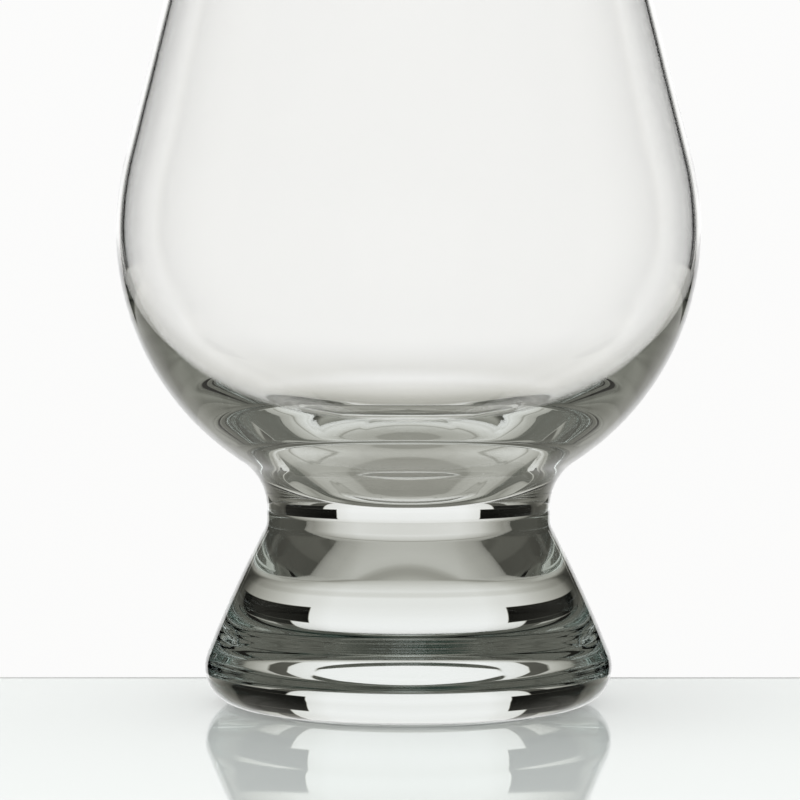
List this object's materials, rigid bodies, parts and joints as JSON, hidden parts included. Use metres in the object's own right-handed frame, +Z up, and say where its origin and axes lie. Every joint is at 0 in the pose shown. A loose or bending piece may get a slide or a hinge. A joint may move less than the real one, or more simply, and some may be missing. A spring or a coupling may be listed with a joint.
{
  "type": "whisky nosing glass",
  "caption": "Short-footed tulip glass for nosing and tasting whisky: a round-bellied clear bowl that narrows to its mouth, on a solid flared foot.",
  "frame": {"origin": "middle of the circle on which the foot stands, at table height", "axes": "+Z up along the axis of revolution, from the foot to the mouth; X and Y are any two directions square to it, because the glass is round"},
  "size_m": [0.0666, 0.0666, 0.115],
  "materials": {
    "crystal": "clear lead-free crystal, fire-polished all over"
  },
  "bodies": {
    "root": {"bowl": "crystal", "foot": "crystal"}
  },
  "joints": []
}
